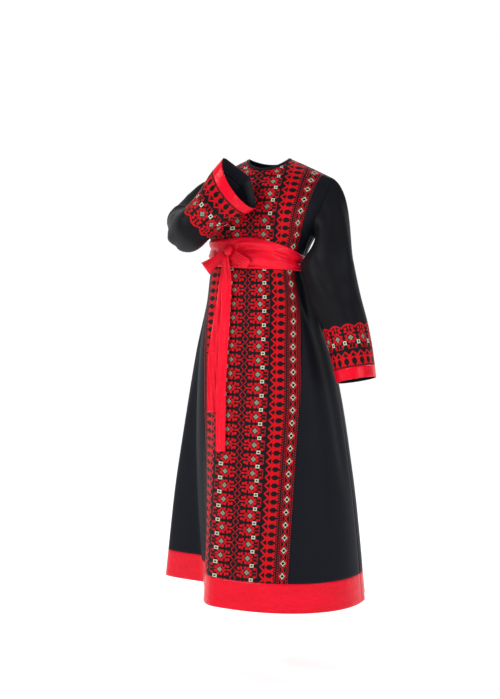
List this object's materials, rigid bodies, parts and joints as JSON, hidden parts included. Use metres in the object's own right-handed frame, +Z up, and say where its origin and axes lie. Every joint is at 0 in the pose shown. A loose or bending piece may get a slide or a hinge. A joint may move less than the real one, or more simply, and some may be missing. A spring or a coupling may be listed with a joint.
{
  "type": "palestinian thobe dress",
  "caption": "Long-sleeved Palestinian thobe with an embroidered front panel, flared skirt, satin hem and cuffs and a tied satin sash, worn open inside.",
  "frame": {"origin": "middle of the shoulder line at the base of the neck, where the wearer's shoulders hold the dress up", "axes": "+Z up along the body, -Y out of the dress's front, +X to the wearer's left"},
  "size_m": [0.7523, 0.6519, 1.3812],
  "materials": {
    "embroidery": "red, sage and cream cross-stitch on black crepe",
    "crepe": "matt black crepe, the sleeve ends embroidered",
    "satin": "soft red satin"
  },
  "bodies": {
    "root": {"front_panel": "embroidery", "side_front_left": "crepe", "side_front_right": "crepe", "back": "crepe", "hem_band_front": "satin", "hem_band_back": "satin", "sleeve_left": "crepe", "sleeve_right": "crepe", "cuff_left": "satin", "cuff_right": "satin", "neck_binding": "crepe", "sash_wrap": "satin", "sash_loop_right": "satin", "sash_loop_left": "satin", "sash_tail_long": "satin", "sash_tail_short": "satin", "sash_knot": "satin"}
  },
  "joints": []
}
